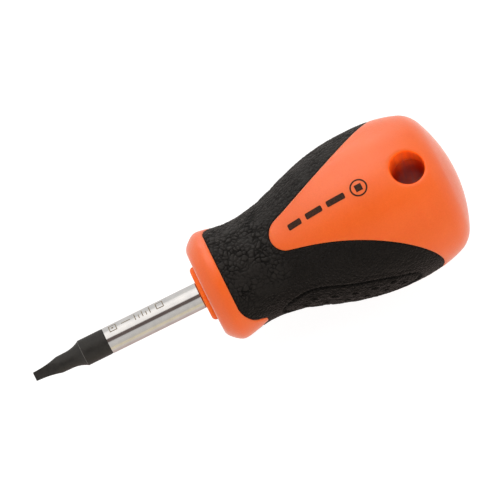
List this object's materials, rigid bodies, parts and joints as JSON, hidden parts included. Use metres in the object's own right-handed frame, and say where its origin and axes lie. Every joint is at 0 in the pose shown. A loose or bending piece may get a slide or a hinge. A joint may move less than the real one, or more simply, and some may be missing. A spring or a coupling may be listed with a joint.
{
  "type": "square-drive screwdriver",
  "caption": "Stubby fixed-blade screwdriver with a tapered square nib, a round steel shank and a fat moulded handle with a soft grip and a hanging hole.",
  "frame": {"origin": "centre of the flat end face of the nib", "axes": "+X along the blade from the nib to the butt, +Z square out of one handle window and along the hanging hole, +Y towards one thumb pad"},
  "size_m": [0.1029, 0.0366, 0.0366],
  "materials": {
    "blade": "bright plated shank with a black oxide tip",
    "handle_core": "satin red-orange",
    "handle_shell": "satin orange",
    "soft_grip": "pebble-grained soft plastic"
  },
  "bodies": {
    "root": {"blade": "blade", "handle_core": "handle_core", "handle_shell": "handle_shell", "soft_grip": "soft_grip"}
  },
  "joints": []
}
